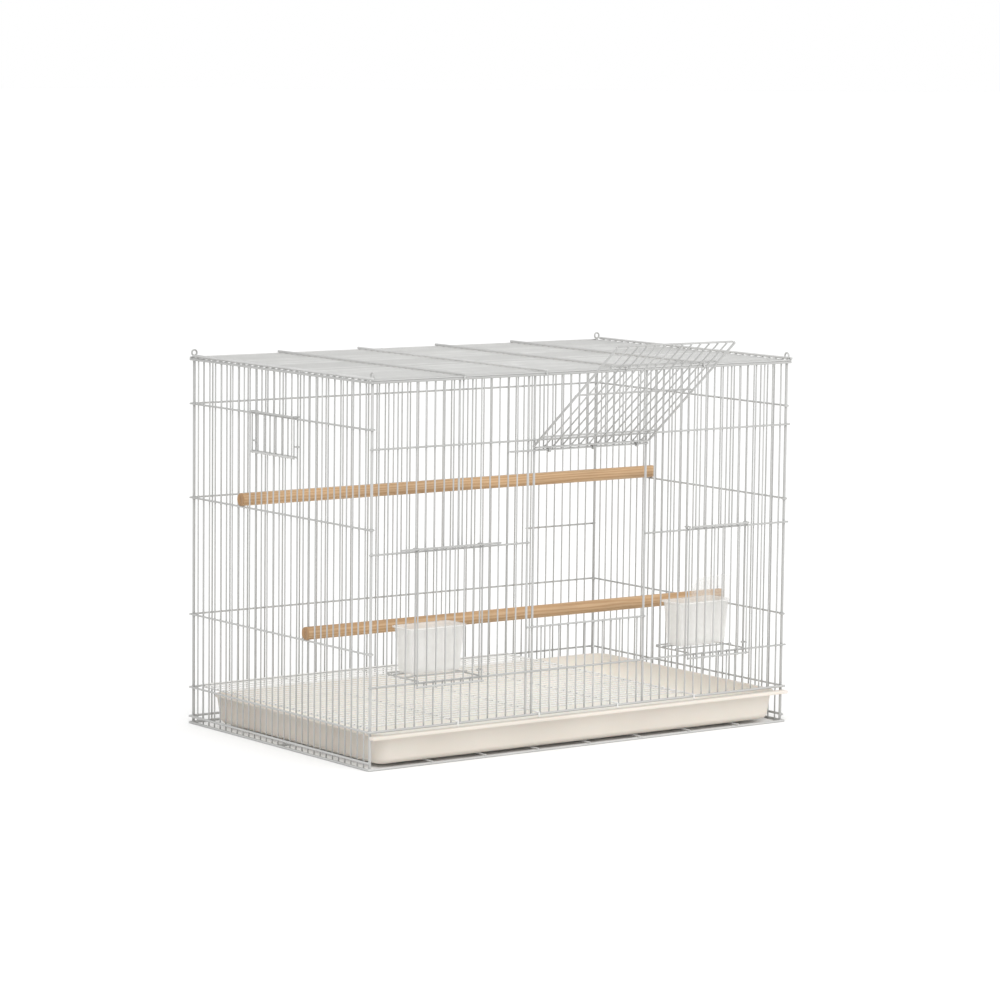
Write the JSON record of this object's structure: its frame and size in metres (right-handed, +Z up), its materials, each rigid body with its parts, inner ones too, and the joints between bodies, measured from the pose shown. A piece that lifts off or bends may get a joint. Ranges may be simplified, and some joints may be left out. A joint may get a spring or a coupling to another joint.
{
  "type": "bird cage",
  "caption": "Rectangular white wire bird cage with flip-up front door, sliding feeder doors, clear cups, wooden perches and a pull-out tray.",
  "frame": {"origin": "centre of the cage's footprint on the surface it stands on", "axes": "+Z up, -Y out of the front with the main door, +X to the right seen from the front"},
  "size_m": [0.6172, 0.5352, 0.4801],
  "materials": {
    "coated_wire": "semi-gloss white powder coat",
    "tray_plastic": "fine matt moulded plastic",
    "perch_wood": "bare sanded dowel",
    "clear_plastic": "clear moulded plastic"
  },
  "bodies": {
    "cage": {"left_panel": "coated_wire", "right_panel": "coated_wire", "back_panel": "coated_wire", "front_panel": "coated_wire", "roof_panel": "coated_wire", "base_frame": "coated_wire", "floor_grille": "coated_wire", "corner_rod_front_left": "coated_wire", "corner_rod_front_right": "coated_wire", "corner_rod_back_left": "coated_wire", "corner_rod_back_right": "coated_wire", "perch_upper": "perch_wood", "perch_lower": "perch_wood", "cup_holder_left": "coated_wire", "cup_holder_right": "coated_wire"},
    "main_door": {"main_door": "coated_wire", "hinge_loops": "coated_wire"},
    "feeder_door_left": {"feeder_door_left": "coated_wire"},
    "feeder_door_right": {"feeder_door_right": "coated_wire"},
    "side_door": {"side_door": "coated_wire"},
    "tray": {"tray": "tray_plastic"},
    "cup_left": {"cup_left": "clear_plastic"},
    "cup_right": {"cup_right": "clear_plastic", "seed_guard": "clear_plastic"}
  },
  "joints": [
    {"name": "main_door_swing", "type": "hinge", "parent": "cage", "child": "main_door", "pos_m": [0, -0.18862, 0.35], "axis": [1, 0, 0], "range_deg": [0, 129]},
    {"name": "feeder_door_left_slide", "type": "slide", "parent": "cage", "child": "feeder_door_left", "axis": [0, 0, 1], "range_m": [0, 0.095]},
    {"name": "feeder_door_right_slide", "type": "slide", "parent": "cage", "child": "feeder_door_right", "axis": [0, 0, 1], "range_m": [0, 0.095]},
    {"name": "side_door_slide", "type": "slide", "parent": "cage", "child": "side_door", "axis": [0, 0, 1], "range_m": [0, 0.028]},
    {"name": "tray_slide", "type": "slide", "parent": "cage", "child": "tray", "axis": [0, -1, 0], "range_m": [0, 0.3]},
    {"name": "cup_left_lift", "type": "slide", "parent": "cage", "child": "cup_left", "axis": [0, 0, 1], "range_m": [0, 0.03]},
    {"name": "cup_right_lift", "type": "slide", "parent": "cage", "child": "cup_right", "axis": [0, 0, 1], "range_m": [0, 0.03]}
  ]
}
